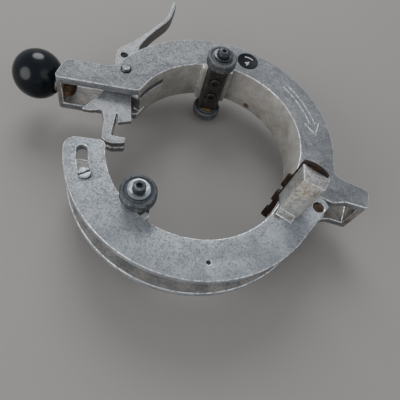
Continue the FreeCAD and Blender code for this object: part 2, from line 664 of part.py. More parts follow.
jaw_parts = {
    "lower_arm": make_lower_arm(),
    "tool_post": make_post(),
    "post_screws": make_post_screws(),
    "blade": make_blade(),
    "blade_screws": make_blade_screws(),
    "catch_pin": make_catch_pin(),
    "catch_sleeve": tube(CATCH, SLEEVE_R, CATCH_PIN_R, -GAP, GAP),
    "catch_washer": tube(CATCH, 7.5, 3.0, -HALF - 1.4, -HALF),
    "catch_nut": nut(CATCH, 10.0, 3.0, -HALF - 6.4, -HALF - 1.4),
}
jaw_parts.update(roller_set("lower", LOWER_ANGLE, False))
parts.update({name: opened(shape) for name, shape in jaw_parts.items()})

os.makedirs("parts", exist_ok=True)
for name, shape in parts.items():
    shape.exportStep("parts/" + name + ".step")
    print(name, len(shape.Solids), round(shape.Volume / 1000, 2), "cm3", shape.isValid())
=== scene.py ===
"""Looks of the hinged clamp-on pipe tool frame: cast arms, ball knob, rollers, blade post and latch."""
import json
import math

import bmesh
import bpy
import numpy as np
from mathutils import Matrix, Vector

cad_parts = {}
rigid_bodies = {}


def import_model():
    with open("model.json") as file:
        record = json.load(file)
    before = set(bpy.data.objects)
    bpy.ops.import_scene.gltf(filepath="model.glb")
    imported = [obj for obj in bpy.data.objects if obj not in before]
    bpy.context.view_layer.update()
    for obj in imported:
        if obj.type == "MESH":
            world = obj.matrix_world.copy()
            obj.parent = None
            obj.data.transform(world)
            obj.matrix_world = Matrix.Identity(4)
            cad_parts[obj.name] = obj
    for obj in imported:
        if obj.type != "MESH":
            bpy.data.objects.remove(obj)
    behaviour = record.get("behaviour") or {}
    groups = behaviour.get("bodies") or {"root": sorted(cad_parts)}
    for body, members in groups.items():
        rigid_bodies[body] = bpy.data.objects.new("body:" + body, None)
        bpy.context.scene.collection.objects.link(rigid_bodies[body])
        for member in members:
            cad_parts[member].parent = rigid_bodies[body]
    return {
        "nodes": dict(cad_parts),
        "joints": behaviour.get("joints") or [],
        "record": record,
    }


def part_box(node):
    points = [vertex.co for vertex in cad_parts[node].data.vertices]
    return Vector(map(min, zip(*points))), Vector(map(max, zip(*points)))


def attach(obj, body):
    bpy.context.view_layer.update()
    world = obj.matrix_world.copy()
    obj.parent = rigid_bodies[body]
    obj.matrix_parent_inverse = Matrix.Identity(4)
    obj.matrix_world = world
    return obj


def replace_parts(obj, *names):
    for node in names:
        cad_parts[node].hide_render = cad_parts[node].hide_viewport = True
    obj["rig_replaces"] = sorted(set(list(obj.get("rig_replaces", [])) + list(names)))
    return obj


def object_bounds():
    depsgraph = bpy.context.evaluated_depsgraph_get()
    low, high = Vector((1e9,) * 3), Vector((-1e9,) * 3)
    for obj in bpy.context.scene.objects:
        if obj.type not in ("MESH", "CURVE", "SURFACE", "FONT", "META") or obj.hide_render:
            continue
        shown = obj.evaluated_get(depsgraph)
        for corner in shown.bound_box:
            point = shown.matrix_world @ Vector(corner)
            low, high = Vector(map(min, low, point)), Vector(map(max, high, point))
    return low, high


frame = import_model()
cad_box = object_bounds()

MM = 0.001
FULL_TURN = 2 * math.pi
JOINT_AT = {joint["name"]: Vector(joint["pos_m"]) for joint in frame["joints"]}
BODY_OF = {node: body for body, nodes in frame["record"]["behaviour"]["bodies"].items() for node in nodes}
SLOT_OF = {part["node"]: part["material_slot"] for part in frame["record"]["subparts"]}
UPWARDS = (0, 0, 1)

RING_INSIDE = 72 * MM                   # the arms' inner radius
PLATE_TOP = 19 * MM                     # height of the arms' upper faces over the middle plane
PLATE_INSIDE = 12 * MM                  # the arms' inner walls lie within this height of the middle plane
JAW_OPEN = math.radians(16.4)           # how far the lower arm stands open at rest
POST_ANGLE = math.radians(-26)          # the tool post's place round the closed ring
POST_HALF = 6 * MM                      # half its thickness round the ring
ARROW_RADII = (83 * MM, 94 * MM)        # the raised arrow's band on the upper arm
ARROW_ANGLES = (24, 66)                 # and its ends round the ring, in degrees
HOOK_SLOT_RADIUS = 79 * MM              # the slot for the hook lies inside this radius
HOOK_SLOT_ANGLE = 140                   # and past this angle, in degrees
KNOB_CENTRE = Vector((-158.1, -7.2, 0)) * MM
KNOB_RADIUS = 20.59 * MM

RUST = (0.085, 0.040, 0.020)
# dark grime for the arms' outer channel, which also stands in for the shade that falls in it
GRIME_AND_SHADE = (0.070, 0.055, 0.042)
CREAM = (0.30, 0.265, 0.225)


# ---- materials ----
class Number:
    """A value that varies over a surface. Arithmetic on it adds Math nodes to its finish."""

    def __init__(self, finish, socket):
        self.finish = finish
        self.socket = socket

    def _math(self, operation, *values):
        return self.finish.add("ShaderNodeMath", {"operation": operation}, dict(enumerate(values)))

    def __add__(self, other):
        return self._math("ADD", self, other)

    def __sub__(self, other):
        return self._math("SUBTRACT", self, other)

    def __rsub__(self, other):
        return self._math("SUBTRACT", other, self)

    def __mul__(self, other):
        return self._math("MULTIPLY", self, other)

    def __abs__(self):
        return self._math("ABSOLUTE", self)

    __radd__ = __add__
    __rmul__ = __mul__


class Finish:
    """A material with one Principled shader, worked out from the Object coordinates."""

    MIX_FACTOR, MIX_UNDER, MIX_OVER, MIX_RESULT = 0, 6, 7, 2      # places of a Mix node's colour sockets

    def __init__(self, name, **constants):
        self.material = bpy.data.materials.new(name)
        self.material.use_nodes = True
        self.tree = self.material.node_tree
        self.shader = next(n for n in self.tree.nodes if n.type == "BSDF_PRINCIPLED")
        for socket, value in constants.items():
            self.shader.inputs[socket.replace("_", " ")].default_value = value
        self.place = self.add("ShaderNodeTexCoord", output="Object")

    def add(self, kind, settings=None, inputs=None, output=0):
        """A new node with its settings, then its inputs as values or links. Gives one of its outputs."""
        node = self.tree.nodes.new(kind)
        for key, value in (settings or {}).items():
            setattr(node, key, value)
        for key, value in (inputs or {}).items():
            self.join(node.inputs[key], value)
        return Number(self, node.outputs[output])

    def join(self, socket, value):
        if isinstance(value, Number):
            self.tree.links.new(value.socket, socket)
        else:
            socket.default_value = value

    def set(self, **varying):
        """Links varying values to the shader's sockets, such as Base_Color or Roughness."""
        for socket, value in varying.items():
            self.join(self.shader.inputs[socket.replace("_", " ")], value)
        return self.material

    def noise(self, size, detail=3.0, rough=0.55, stretch=(1, 1, 1), offset=0.0):
        """Cloudy value whose lumps are about size metres across."""
        moved = {"Vector": self.place, "Location": (offset,) * 3, "Scale": stretch}
        where = self.add("ShaderNodeMapping", {}, moved)
        sockets = {"Vector": where, "Scale": 1 / size, "Detail": detail, "Roughness": rough}
        return self.add("ShaderNodeTexNoise", {}, sockets)

    def step(self, value, low, high):
        """0 below low, 1 above high, smooth between them."""
        sockets = {"Value": value, "From Min": low, "From Max": high}
        return self.add("ShaderNodeMapRange", {"interpolation_type": "SMOOTHSTEP"}, sockets)

    def mix(self, factor, under, over):
        """Colour under where factor is 0, over where it is 1."""
        under, over = (tone if isinstance(tone, Number) else (*tone, 1.0) for tone in (under, over))
        sockets = {self.MIX_FACTOR: factor, self.MIX_UNDER: under, self.MIX_OVER: over}
        return self.add("ShaderNodeMix", {"data_type": "RGBA"}, sockets, output=self.MIX_RESULT)

    def bump(self, height, depth, strength=1.0):
        """Normal of a surface whose relief is height times depth metres."""
        return self.add("ShaderNodeBump", {}, {"Height": height, "Distance": depth, "Strength": strength})

    def distance_to(self, point):
        vectors = {0: self.place, 1: tuple(point)}
        return self.add("ShaderNodeVectorMath", {"operation": "DISTANCE"}, vectors, output="Value")

    def along(self, direction):
        """How far a point lies along a direction from the origin, in metres."""
        vectors = {0: self.place, 1: tuple(direction)}
        return self.add("ShaderNodeVectorMath", {"operation": "DOT_PRODUCT"}, vectors, output="Value")

    def facing(self, direction):
        """1 where the surface faces a direction, 0 across it, -1 where it faces away."""
        shape = self.add("ShaderNodeNewGeometry", output="True Normal")
        vectors = {0: shape, 1: tuple(direction)}
        return self.add("ShaderNodeVectorMath", {"operation": "DOT_PRODUCT"}, vectors, output="Value")

    def radius_about(self, point):
        """Distance from an upright axis through a point."""
        flat = self.add("ShaderNodeVectorMath", {"operation": "MULTIPLY"}, {0: self.place, 1: (1, 1, 0)})
        vectors = {0: flat, 1: (point[0], point[1], 0)}
        return self.add("ShaderNodeVectorMath", {"operation": "DISTANCE"}, vectors, output="Value")


def cast_aluminium(name, light, dark, centre, stains):
    """Weathered C-shaped arm about a centre: cloudy grey, dark grit in its pores, pale sparkle and fine
    scratches. Its inner wall is cream, and the channel round its outside is dirty and darkened with
    painted shade. stains are (point, radius, colour) of ragged marks."""
    finish = Finish(name)
    cloud = finish.step(finish.noise(16 * MM, 5, 0.65), 0.32, 0.70)
    colour = finish.mix(cloud, dark, light)
    smear = finish.step(finish.noise(5 * MM, 4, 0.6, stretch=(0.5, 1.4, 1), offset=0.3), 0.50, 0.74)
    colour = finish.mix(smear * 0.25, colour, (0.48, 0.50, 0.52))
    pores = finish.step(finish.noise(1.5 * MM, 4, 0.75), 0.52, 0.62)
    sparkle = finish.step(finish.noise(1.3 * MM, 3, 0.7, offset=0.45), 0.56, 0.64)
    freckles = finish.step(finish.noise(4.5 * MM, 5, 0.78, offset=0.7), 0.56, 0.66)
    colour = finish.mix(pores * 0.50, colour, (0.085, 0.095, 0.105))
    colour = finish.mix(freckles * 0.48, colour, (0.075, 0.075, 0.075))
    colour = finish.mix(sparkle * 0.20, colour, (0.66, 0.69, 0.72))
    scratch = finish.step(finish.noise(0.7 * MM, 2, 0.5, stretch=(0.07, 1, 1), offset=0.1), 0.64, 0.70)
    colour = finish.mix(scratch * 0.15, colour, (0.58, 0.60, 0.62))
    radius = finish.radius_about(centre)
    height = abs(finish.along(UPWARDS))
    level = 1 - finish.step(height, PLATE_INSIDE - 0.2 * MM, PLATE_INSIDE + 0.4 * MM)
    outside = finish.step(radius, RING_INSIDE + 2 * MM, RING_INSIDE + 4 * MM)
    wall = 1 - finish.step(radius, RING_INSIDE + 0.3 * MM, RING_INSIDE + 0.8 * MM)
    channel = level * outside
    dirt = finish.step(finish.noise(18 * MM, 6, 0.75, offset=0.5), 0.36, 0.64)
    # the channel between the plates is painted with cream dirt and dark grime, partly painted shade in the
    # recess
    colour = finish.mix(channel * 0.80, colour, finish.mix(dirt, CREAM, GRIME_AND_SHADE))
    tint = finish.mix(dirt, (0.52, 0.50, 0.46), (0.36, 0.335, 0.30))
    colour = finish.mix(wall * 0.75, colour, tint)
    ragged = finish.noise(5 * MM, 5, 0.75, offset=0.9)
    for point, reach, tone in stains:
        spot = 1 - finish.step(finish.distance_to(point) + ragged * reach, 0.9 * reach, 1.4 * reach)
        colour = finish.mix(spot * 0.85, colour, tone)
    relief = finish.noise(1.6 * MM, 5, 0.62) - pores * 0.5 - freckles * 0.4
    return finish.set(
        Base_Color=colour,
        Metallic=0.40 - 0.30 * channel,
        Roughness=0.50 + 0.12 * cloud + 0.14 * channel - 0.12 * sparkle,
        Normal=finish.bump(relief, 0.30 * MM, 0.9),
    )


def worked_metal(name):
    """Latch castings: even grey with pale sparkle, and painted shade, brown, on their upright sides, which
    leaves their flat faces lighter.
    """
    finish = Finish(name, Metallic=0.5)
    cloud = finish.step(finish.noise(11 * MM, 5, 0.65), 0.34, 0.68)
    colour = finish.mix(cloud, (0.15, 0.155, 0.16), (0.30, 0.31, 0.32))
    # painted shade: faces that stand upright are darkened towards brown
    upright_side_shade = 1 - finish.step(abs(finish.facing(UPWARDS)), 0.35, 0.8)
    colour = finish.mix(upright_side_shade * 0.65, colour, (0.105, 0.085, 0.068))
    pores = finish.step(finish.noise(1.5 * MM, 4, 0.72), 0.54, 0.64)
    colour = finish.mix(pores * 0.5, colour, (0.06, 0.06, 0.062))
    sparkle = finish.step(finish.noise(1.2 * MM, 3, 0.7, offset=0.45), 0.57, 0.65)
    colour = finish.mix(sparkle * 0.4, colour, (0.62, 0.64, 0.66))
    return finish.set(
        Base_Color=colour,
        Roughness=0.42 + 0.18 * cloud,
        Normal=finish.bump(finish.noise(1.5 * MM, 5, 0.65) - pores * 0.4, 0.25 * MM, 0.9),
    )


def edge_wear_and_highlight(name):
    """Bare bright metal where an edge is knocked and rubbed, and painted highlight along every rounded
    edge, broken up by dull nicks.
    """
    finish = Finish(name, Metallic=0.65)
    nick = finish.step(finish.noise(3.0 * MM, 5, 0.75, offset=0.2), 0.42, 0.60)
    # pale edge colour: partly wear, partly painted highlight
    colour = finish.mix(nick, (0.80, 0.82, 0.84), (0.30, 0.31, 0.32))
    return finish.set(
        Base_Color=colour,
        Roughness=0.30 + 0.25 * nick,
        Normal=finish.bump(finish.noise(1.2 * MM, 3), 0.12 * MM, 0.6),
    )


def flaking_cream(name, front, depth, foot):
    """The post: cream paint left in flakes high on the side that faces front, bare grey metal elsewhere,
    and dark cracks round its foot, whose height is given."""
    finish = Finish(name)
    cloud = finish.step(finish.noise(9 * MM, 4, 0.6), 0.3, 0.7)
    metal = finish.mix(cloud, (0.25, 0.26, 0.26), (0.40, 0.41, 0.41))
    pores = finish.step(finish.noise(1.4 * MM, 4, 0.72), 0.54, 0.64)
    metal = finish.mix(pores * 0.45, metal, (0.09, 0.09, 0.09))
    on_front = finish.step(finish.along(front), depth - 1.2 * MM, depth - 0.2 * MM)
    height = finish.along(UPWARDS)
    high = finish.step(height + finish.noise(9 * MM, 4) * 0.02, foot + 20 * MM, foot + 46 * MM)
    flakes = finish.step(finish.noise(4.5 * MM, 5, 0.72, offset=0.6) + high * 0.12, 0.48, 0.58)
    paint = on_front * flakes
    tint = finish.mix(finish.noise(3 * MM, 3), (0.36, 0.33, 0.27), (0.50, 0.48, 0.42))
    soot = finish.step(finish.noise(1.8 * MM, 5, 0.75, offset=0.8) + high * 0.06, 0.58, 0.68)
    colour = finish.mix(paint, metal, tint)
    colour = finish.mix(soot * on_front * 0.7, colour, (0.13, 0.095, 0.065))
    blotch = finish.step(finish.noise(2.6 * MM, 5, 0.78, offset=1.3) + high * 0.08, 0.56, 0.66)
    colour = finish.mix(blotch * high * 0.75, colour, (0.19, 0.125, 0.085))
    ragged = finish.noise(2.4 * MM, 5, 0.78) * 0.016
    low = 1 - finish.step(height + ragged, foot + 9 * MM, foot + 11.5 * MM)
    colour = finish.mix(low * 0.7, colour, (0.075, 0.062, 0.050))
    return finish.set(
        Base_Color=colour,
        Metallic=0.40 - 0.40 * paint,
        Roughness=0.45 + 0.25 * paint,
        Normal=finish.bump(paint * 0.8 + finish.noise(1.5 * MM, 4) * 0.4, 0.25 * MM),
    )


def rusty_steel(name, scale=(0.022, 0.017, 0.014), rust=RUST, bloom_share=0.5):
    """Old steel: near-black scale, brown rust and orange bloom in patches."""
    finish = Finish(name, Metallic=0.1, Specular_IOR_Level=0.25)
    patch = finish.step(finish.noise(4 * MM, 5, 0.72), 0.42, 0.60)
    bloom = finish.step(finish.noise(1.8 * MM, 5, 0.78, offset=0.4), 0.52, 0.64)
    colour = finish.mix(patch, scale, rust)
    colour = finish.mix(bloom * bloom_share, colour, (0.20, 0.095, 0.045))
    bare = finish.step(finish.noise(2.4 * MM, 4, 0.7, offset=0.15), 0.60, 0.70)
    colour = finish.mix(bare * 0.6, colour, (0.30, 0.28, 0.26))
    return finish.set(
        Base_Color=colour,
        Roughness=0.66 + 0.22 * patch - 0.25 * bare,
        Normal=finish.bump(finish.noise(1.2 * MM, 5, 0.75) + bloom * 0.5, 0.45 * MM),
    )


def blackened_steel(name, base, tinge=(0.050, 0.040, 0.033), metallic=0.5):
    """Black oxide worn thin, with greasy dust."""
    finish = Finish(name, Metallic=metallic)
    worn = finish.step(finish.noise(4 * MM, 5, 0.75), 0.54, 0.70)
    greasy = finish.step(finish.noise(7 * MM, 4, 0.6, offset=0.35), 0.45, 0.7)
    colour = finish.mix(greasy * 0.6, base, tinge)
    colour = finish.mix(worn * 0.6, colour, (0.17, 0.165, 0.16))
    dust = finish.step(finish.noise(1.4 * MM, 4, 0.75, offset=0.6), 0.56, 0.68)
    colour = finish.mix(dust * 0.45, colour, (0.26, 0.25, 0.235))
    return finish.set(
        Base_Color=colour,
        Roughness=0.40 + 0.22 * greasy - 0.08 * worn,
        Normal=finish.bump(finish.noise(1.0 * MM, 4), 0.12 * MM),
    )


def zinc_steel(name, bright, dull):
    """Plated steel gone cloudy, with grey dirt in its corners."""
    finish = Finish(name, Metallic=0.9)
    haze = finish.step(finish.noise(3 * MM, 4, 0.65), 0.35, 0.7)
    colour = finish.mix(haze, bright, dull)
    dirt = finish.step(finish.noise(1.4 * MM, 4, 0.7, offset=0.5), 0.56, 0.70)
    colour = finish.mix(dirt * 0.7, colour, (0.09, 0.08, 0.07))
    return finish.set(
        Base_Color=colour,
        Roughness=0.24 + 0.22 * haze + 0.2 * dirt,
        Normal=finish.bump(finish.noise(0.9 * MM, 3), 0.06 * MM),
    )


def roller_steel(name, centre, tread, face):
    """Dark steel roller about an upright axis: rubbed grey on the tread, turning marks on its faces."""
    finish = Finish(name, Metallic=0.35)
    radius = finish.radius_about(centre)
    turned = finish.add("ShaderNodeMath", {"operation": "SINE"}, {0: radius * (FULL_TURN / (0.6 * MM))})
    rim = finish.step(radius, tread - 2.0 * MM, tread)
    scuffs = finish.step(finish.noise(3.0 * MM, 5, 0.75), 0.44, 0.66)
    colour = finish.mix(scuffs * 0.5, face, (0.115, 0.125, 0.135))
    colour = finish.mix(rim * scuffs * 0.5, colour, (0.22, 0.23, 0.235))
    dust = finish.step(finish.noise(1.2 * MM, 4, 0.75, offset=0.3), 0.58, 0.70)
    colour = finish.mix(dust * 0.4, colour, (0.30, 0.30, 0.29))
    return finish.set(
        Base_Color=colour,
        Roughness=0.50 + 0.16 * scuffs,
        Normal=finish.bump(turned * 0.12 + finish.noise(1.0 * MM, 4), 0.08 * MM),
    )


def bronze(name):
    """Oily bearing bronze with darker tarnish."""
    finish = Finish(name, Metallic=0.9)
    tarnish = finish.step(finish.noise(3 * MM, 4, 0.65), 0.38, 0.68)
    colour = finish.mix(tarnish, (0.50, 0.31, 0.13), (0.17, 0.095, 0.045))
    return finish.set(
        Base_Color=colour,
        Roughness=0.32 + 0.25 * tarnish,
        Normal=finish.bump(finish.noise(0.6 * MM, 3), 0.04 * MM),
    )


def ball_plastic(name):
    """Polished black phenolic ball: deep gloss, a little dust and hairline scratches."""
    finish = Finish(name, Specular_IOR_Level=0.24, Coat_Roughness=0.3)
    dust = finish.step(finish.noise(0.9 * MM, 3, 0.7), 0.66, 0.74)
    hairline = finish.step(finish.noise(0.6 * MM, 2, 0.5, stretch=(1, 0.05, 0.6)), 0.68, 0.72)
    handled = finish.step(finish.noise(12 * MM, 4, 0.6, offset=0.4), 0.4, 0.7)
    colour = finish.mix(dust * 0.25, (0.0022, 0.0042, 0.0070), (0.09, 0.09, 0.09))
    return finish.set(
        Base_Color=colour,
        Roughness=0.16 + 0.12 * handled + 0.2 * hairline + 0.15 * dust,
        Coat_Weight=0.04 + 0.06 * handled,
        Normal=finish.bump(finish.noise(5 * MM, 3), 0.03 * MM, 0.4),
    )


def label_black(name):
    """Black enamel plate, rubbed grey in spots."""
    finish = Finish(name, Specular_IOR_Level=0.15)
    rubbed = finish.step(finish.noise(2.2 * MM, 5, 0.7), 0.58, 0.74)
    colour = finish.mix(rubbed * 0.4, (0.0045, 0.0055, 0.0075), (0.06, 0.06, 0.065))
    return finish.set(
        Base_Color=colour,
        Roughness=0.55 + 0.2 * rubbed,
        Normal=finish.bump(finish.noise(1 * MM, 3), 0.03 * MM),
    )


def label_print(name):
    """Pale print on the plate, worn in spots."""
    finish = Finish(name, Roughness=0.5)
    worn = finish.step(finish.noise(0.9 * MM, 4, 0.7), 0.52, 0.66)
    return finish.set(Base_Color=finish.mix(worn * 0.7, (0.62, 0.64, 0.65), (0.06, 0.06, 0.065)))


# ---- pieces ----
def put_in_scene(name, data):
    """A new object of the mesh, camera or light, linked to the scene."""
    piece = bpy.data.objects.new(name, data)
    bpy.context.scene.collection.objects.link(piece)
    return piece


def shade_smooth(mesh):
    mesh.polygons.foreach_set("use_smooth", [True] * len(mesh.polygons))


def grid_mesh(name, points, around, material):
    """Mesh of a grid of points, its rows joined into quads, and its last column to the first where
    around is true."""
    rows, columns, _ = points.shape
    index = np.arange(rows * columns).reshape(rows, columns)
    right = np.roll(index, -1, axis=1) if around else index[:, 1:]
    left = index if around else index[:, :-1]
    quads = np.stack([left[:-1], right[:-1], right[1:], left[1:]], axis=-1).reshape(-1, 4)
    mesh = bpy.data.meshes.new(name)
    mesh.from_pydata(points.reshape(-1, 3).tolist(), [], quads.tolist())
    clean = bmesh.new()
    clean.from_mesh(mesh)
    bmesh.ops.remove_doubles(clean, verts=clean.verts, dist=1e-7)
    bmesh.ops.recalc_face_normals(clean, faces=clean.faces)
    clean.to_mesh(mesh)
    clean.free()
    mesh.materials.append(material)
    shade_smooth(mesh)
    return put_in_scene(name, mesh)


COLUMNS = 96                    # columns of a turned surface


def revolve(name, profile, centre, axis, material):
    """Surface of revolution: each (radius, height) of the profile is carried round a circle about the
    axis through the centre."""
    radius, height = np.asarray(profile, float).T
    angle = np.linspace(0, FULL_TURN, COLUMNS, endpoint=False)
    along = Vector(axis).normalized()
    side = along.orthogonal().normalized()
    third = along.cross(side)
    circle = np.outer(np.cos(angle), side) + np.outer(np.sin(angle), third)
    lifted = (height[:, None] * np.array(along))[:, None, :]
    points = np.array(centre) + radius[:, None, None] * circle + lifted
    return grid_mesh(name, points, True, material)


def arc(centre, radius, start, end, count):
    """Points of a circle in (radius, height), from one angle to another in degrees."""
    angle = np.radians(np.linspace(start, end, count))
    return [(centre[0] + radius * c, centre[1] + radius * s) for c, s in zip(np.cos(angle), np.sin(angle))]


def stand_for(piece, *nodes):
    """The piece takes the place, the body and the slot of the CAD nodes."""
    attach(piece, BODY_OF[nodes[0]])
    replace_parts(piece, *nodes)
    return piece


SHARP = math.radians(32)        # faces that meet at more than this have an edge to round
FLAT = math.radians(0.6)        # faces that meet at less than this become one
FINE_SHARE = 0.3                # width of a fine edge beside an ordinary one
EDGE_SEGMENTS = 2


def eased(node, name, materials, width, fine=None):
    """The node's own shape with every sharp edge rounded to width; the last material goes on the edges.
    fine tells from the corners' places which of them have edges rounded only to FINE_SHARE of the width."""
    mesh = frame["nodes"][node].data.copy()
    mesh.name = name
    clean = bmesh.new()
    clean.from_mesh(mesh)
    bmesh.ops.remove_doubles(clean, verts=clean.verts, dist=1e-6)
    bmesh.ops.dissolve_limit(clean, angle_limit=FLAT, verts=clean.verts, edges=clean.edges)
    clean.to_mesh(mesh)
    sharp = np.array([len(e.link_faces) == 2 and e.calc_face_angle() > SHARP for e in clean.edges])
    clean.free()
    mesh.materials.clear()
    for material in materials:
        mesh.materials.append(material)
    mesh.polygons.foreach_set("material_index", [0] * len(mesh.polygons))
    shade_smooth(mesh)
    weight = sharp.astype(float)
    if fine:
        corners = np.empty(len(mesh.vertices) * 3)
        mesh.vertices.foreach_get("co", corners)
        ends = np.empty(len(mesh.edges) * 2, dtype=int)
        mesh.edges.foreach_get("vertices", ends)
        small = fine(corners.reshape(-1, 3))[ends.reshape(-1, 2)].any(axis=1)
        weight[small] *= FINE_SHARE
    mesh.attributes.new("bevel_weight_edge", "FLOAT", "EDGE").data.foreach_set("value", weight)
    piece = put_in_scene(name, mesh)
    bevel = piece.modifiers.new("eased_edges", "BEVEL")
    bevel.width = width
    bevel.segments = EDGE_SEGMENTS
    bevel.limit_method = "WEIGHT"
    bevel.use_clamp_overlap = False
    bevel.harden_normals = True
    bevel.material = len(materials) - 1
    return stand_for(piece, node)


def keep_thin(corners):
    """Corners of the raised arrow on the upper arm's face, and of the hook's slot in its wall."""
    x, y, z = corners.T
    radius = np.hypot(x, y)
    angle = np.degrees(np.arctan2(y, x))
    in_band = (radius > ARROW_RADII[0]) & (radius < ARROW_RADII[1])
    in_length = (angle > ARROW_ANGLES[0]) & (angle < ARROW_ANGLES[1])
    arrow = (z > PLATE_TOP - 0.05 * MM) & in_band & in_length
    slot = (abs(z) < PLATE_INSIDE) & (radius < HOOK_SLOT_RADIUS) & (angle > HOOK_SLOT_ANGLE)
    return arrow | slot


def lower_centre():
    """Centre of the lower arm's ring, which the open hinge carries away from the origin."""
    hinge = JOINT_AT["jaw_hinge"]
    return hinge - Matrix.Rotation(JAW_OPEN, 3, "Z") @ hinge


def upper_arm_stains():
    """Rust beside the hinge, low on the inner wall, and beside the axle block."""
    rust_at = math.radians(79)
    on_wall = Vector((RING_INSIDE * math.cos(rust_at), RING_INSIDE * math.sin(rust_at), -15 * MM))
    block_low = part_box("upper_axle_block")[0]
    by_block = Vector((block_low.x - 6 * MM, block_low.y, -10 * MM))
    by_hinge = JOINT_AT["jaw_hinge"] + Vector((-26, 20, -4)) * MM
    return [(by_hinge, 9 * MM, RUST), (on_wall, 4 * MM, RUST), (by_block, 8 * MM, RUST)]


def lower_arm_stains():
    """Brown dirt round the hinge pin and dark dirt beside the post's foot."""
    post_low, post_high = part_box("tool_post")
    foot = Vector(((post_low.x + post_high.x) / 2, post_low.y, post_low.z))
    beside_foot = foot + Vector((-6, 4, 0)) * MM
    round_pin = JOINT_AT["jaw_hinge"] + Vector((0, 0, PLATE_TOP))
    return [(round_pin, 6 * MM, (0.10, 0.085, 0.07)), (beside_foot, 6 * MM, (0.05, 0.042, 0.035))]


def make_arms(bright):
    """The upper arm is the duller casting, the lower one the paler and bluer."""
    dull = ((0.205, 0.21, 0.22), (0.125, 0.13, 0.137))
    pale = ((0.36, 0.385, 0.41), (0.225, 0.245, 0.265))
    upper = cast_aluminium("cast_upper_arm", *dull, Vector((0, 0, 0)), upper_arm_stains())
    lower = cast_aluminium("cast_lower_arm", *pale, lower_centre(), lower_arm_stains())
    eased("upper_arm", "upper_arm_casting", [upper, bright], 0.7 * MM, keep_thin)
    eased("lower_arm", "lower_arm_casting", [lower, bright], 0.7 * MM)


def make_latch(bright):
    metal = worked_metal("latch_metal")
    eased("latch_lever", "latch_lever_casting", [metal, bright], 0.5 * MM)
    eased("latch_hook", "latch_hook_casting", [metal, bright], 0.5 * MM)


def make_post(bright):
    across = POST_ANGLE + JAW_OPEN
    front = Vector((math.sin(across), -math.cos(across), 0))
    depth = lower_centre().dot(front) + POST_HALF
    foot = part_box("tool_post")[0].z
    cream = flaking_cream("post_finish", front, depth, foot)
    eased("tool_post", "tool_post_bar", [cream, bright], 0.6 * MM)


def make_knob():
    """Ball with a flat towards the collar, an eased rim round the flat, and a blind hole for the bolt."""
    flat = 18.4 * MM
    hole_radius = 4.1 * MM
    hole_end = flat - 6 * MM
    last = math.pi - math.acos(flat / KNOB_RADIUS)
    ball = [(KNOB_RADIUS * math.sin(a), -KNOB_RADIUS * math.cos(a)) for a in np.linspace(0, last, 72)]
    rim = ball[-1][0]
    ball += [(rim - 0.5 * MM, flat), (rim - 2.0 * MM, flat), (hole_radius, flat)]
    ball += [(hole_radius, hole_end), (0, hole_end)]
    moulding = revolve("ball_knob_moulding", ball, KNOB_CENTRE, (1, 0, 0), ball_plastic("ball_plastic"))
    stand_for(moulding, "ball_knob")


TREAD = 13.0 * MM
ROLLER_BORE = 6.05 * MM
ROLLER_HALF = 4.3 * MM          # half the roller's width
ROLLER_RIM = 1.7 * MM           # how far its rims are rounded


def roller_profile():
    """One face from the rounded rim inwards: a turned groove, a flat ring, then a bevel into the bore,
    each a radius and a depth in millimetres. The other face mirrors it, and the tread between them is
    very slightly hollow."""
    face = arc((TREAD - ROLLER_RIM, ROLLER_HALF - ROLLER_RIM), ROLLER_RIM, 0, 90, 9)
    groove = ((10.3, 0), (10.15, 0.2), (9.95, 0.5), (9.3, 0.5), (9.1, 0.2), (8.95, 0))
    bore_edge = ((6.6, 0), (6.05, 0.4))
    face += [(radius * MM, ROLLER_HALF - depth * MM) for radius, depth in groove + bore_edge]
    top = [(TREAD - 0.02 * MM, 0.45 * ROLLER_HALF)] + face
    bottom = [(radius, -height) for radius, height in reversed(top)]
    middle = (TREAD - 0.12 * MM, 0.0)
    return bottom + [middle] + top + [(ROLLER_BORE, 0.4 * MM - ROLLER_HALF)]


def make_rollers():
    tones = {"upper": (0.060, 0.062, 0.065), "lower": (0.040, 0.047, 0.054)}
    for arm, tone in tones.items():
        for place in ("top", "bottom"):
            node = arm + "_roller_" + place
            low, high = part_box(node)
            centre = (low + high) / 2
            finish = roller_steel("finish_" + node, centre, TREAD, tone)
            stand_for(revolve(node + "_ring", roller_profile(), centre, UPWARDS, finish), node)


def make_label():
    """Round plate with a raised rim, and a generic print: the size in inches over a bar."""
    low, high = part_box("size_label")
    centre = (low + high) / 2
    radius = (high.x - low.x) / 2
    base, top = low.z - centre.z, high.z - centre.z
    field = top - 0.15 * MM
    profile = [
        (0, base),
        (radius, base),
        (radius, top - 0.1 * MM),
        (radius - 0.15 * MM, top),
        (radius - 0.9 * MM, top),
        (radius - 1.1 * MM, field),
        (0, field),
    ]
    plate = revolve("size_label_plate", profile, centre, UPWARDS, label_black("label_black"))
    stand_for(plate, "size_label")
    pale = label_print("label_print")
    make_label_figure(Vector((centre.x + 0.2 * MM, centre.y - 3.6 * MM, high.z - 0.1 * MM)), pale)
    make_label_bar(centre, high.z - 0.08 * MM, pale)


def print_on_label(piece):
    """The print moves with the plate."""
    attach(piece, BODY_OF["size_label"])


def make_label_figure(place, material):
    """The figure 4, a little raised, and turned a little to the right."""
    text = bpy.data.curves.new("size_figure", "FONT")
    text.body = "4"
    text.size = 8.5 * MM
    text.align_x = "CENTER"
    text.align_y = "CENTER"
    text.extrude = 0.04 * MM
    source = bpy.data.objects.new("size_figure", text)
    mesh = bpy.data.meshes.new_from_object(source)
    bpy.data.objects.remove(source)
    mesh.transform(Matrix.Translation(place) @ Matrix.Rotation(math.radians(-12), 4, "Z"))
    mesh.materials.append(material)
    print_on_label(put_in_scene("size_label_figure", mesh))


